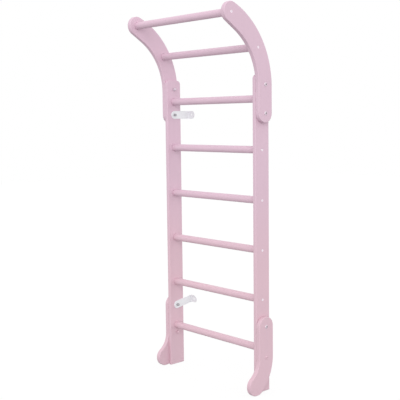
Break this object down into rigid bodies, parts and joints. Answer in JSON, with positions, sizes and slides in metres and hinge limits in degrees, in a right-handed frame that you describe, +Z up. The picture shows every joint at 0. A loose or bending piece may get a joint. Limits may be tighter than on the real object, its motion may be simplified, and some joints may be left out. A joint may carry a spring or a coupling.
{
  "type": "wall-mounted climbing ladder",
  "caption": "Painted wooden climbing ladder for a child's room, with round rungs between side rails, curved arms carrying overhanging hand bars, round-toed feet and wall brackets that turn.",
  "frame": {"origin": "on the floor, midway between the side rails and midway through their depth", "axes": "+X along the rungs to the right as seen from the room, +Y to the wall, +Z up"},
  "size_m": [0.6942, 0.3637, 1.8039],
  "materials": {
    "pink_paint": "satin pink paint over solid wood",
    "white_enamel": "white powder coat on steel strip",
    "zinc_steel": "bright zinc plate",
    "nickel_steel": "dull nickel plate",
    "dark_steel": "dark plated steel"
  },
  "bodies": {
    "frame": {"left_side_rail": "pink_paint", "left_top_arm": "pink_paint", "left_foot": "pink_paint", "right_side_rail": "pink_paint", "right_top_arm": "pink_paint", "right_foot": "pink_paint", "rung_1": "pink_paint", "rung_2": "pink_paint", "rung_3": "pink_paint", "rung_4": "pink_paint", "rung_5": "pink_paint", "rung_6": "pink_paint", "front_bar": "pink_paint", "rear_bar": "pink_paint", "left_rung_1_screw": "zinc_steel", "left_rung_2_screw": "zinc_steel", "left_rung_3_screw": "zinc_steel", "left_rung_4_screw": "zinc_steel", "left_rung_5_screw": "zinc_steel", "left_rung_6_screw": "zinc_steel", "left_front_bar_screw": "zinc_steel", "left_rear_bar_screw": "zinc_steel", "left_arm_upper_bolt": "nickel_steel", "left_arm_upper_nut": "nickel_steel", "left_arm_lower_bolt": "nickel_steel", "left_arm_lower_nut": "dark_steel", "left_foot_upper_bolt": "nickel_steel", "left_foot_upper_nut": "dark_steel", "left_foot_lower_bolt": "pink_paint", "left_foot_lower_nut": "pink_paint", "left_arm_upper_washer": "nickel_steel", "left_foot_lower_washer": "pink_paint", "right_rung_1_screw": "zinc_steel", "right_rung_2_screw": "zinc_steel", "right_rung_3_screw": "zinc_steel", "right_rung_4_screw": "zinc_steel", "right_rung_5_screw": "zinc_steel", "right_rung_6_screw": "zinc_steel", "right_front_bar_screw": "zinc_steel", "right_rear_bar_screw": "zinc_steel", "right_arm_upper_bolt": "nickel_steel", "right_arm_upper_nut": "nickel_steel", "right_arm_lower_bolt": "nickel_steel", "right_arm_lower_nut": "dark_steel", "right_foot_upper_bolt": "nickel_steel", "right_foot_upper_nut": "dark_steel", "right_foot_lower_bolt": "pink_paint", "right_foot_lower_nut": "pink_paint", "right_arm_upper_washer": "nickel_steel", "right_foot_lower_washer": "pink_paint"},
    "left_upper_bracket": {"left_upper_bracket": "white_enamel"},
    "left_lower_bracket": {"left_lower_bracket": "white_enamel"},
    "right_upper_bracket": {"right_upper_bracket": "white_enamel"},
    "right_lower_bracket": {"right_lower_bracket": "white_enamel"}
  },
  "joints": [
    {"name": "left_upper_bracket_turn", "type": "hinge", "parent": "frame", "child": "left_upper_bracket", "pos_m": [-0.3017, 0, 1.319], "axis": [1, 0, 0], "range_deg": [-90, 50]},
    {"name": "left_lower_bracket_turn", "type": "hinge", "parent": "frame", "child": "left_lower_bracket", "pos_m": [-0.3017, 0, 0.32], "axis": [1, 0, 0], "range_deg": [-70, 80]},
    {"name": "right_upper_bracket_turn", "type": "hinge", "parent": "frame", "child": "right_upper_bracket", "pos_m": [0.3017, 0, 1.319], "axis": [1, 0, 0], "range_deg": [-10, 130]},
    {"name": "right_lower_bracket_turn", "type": "hinge", "parent": "frame", "child": "right_lower_bracket", "pos_m": [0.3017, 0, 0.32], "axis": [1, 0, 0], "range_deg": [-144, 6]}
  ]
}
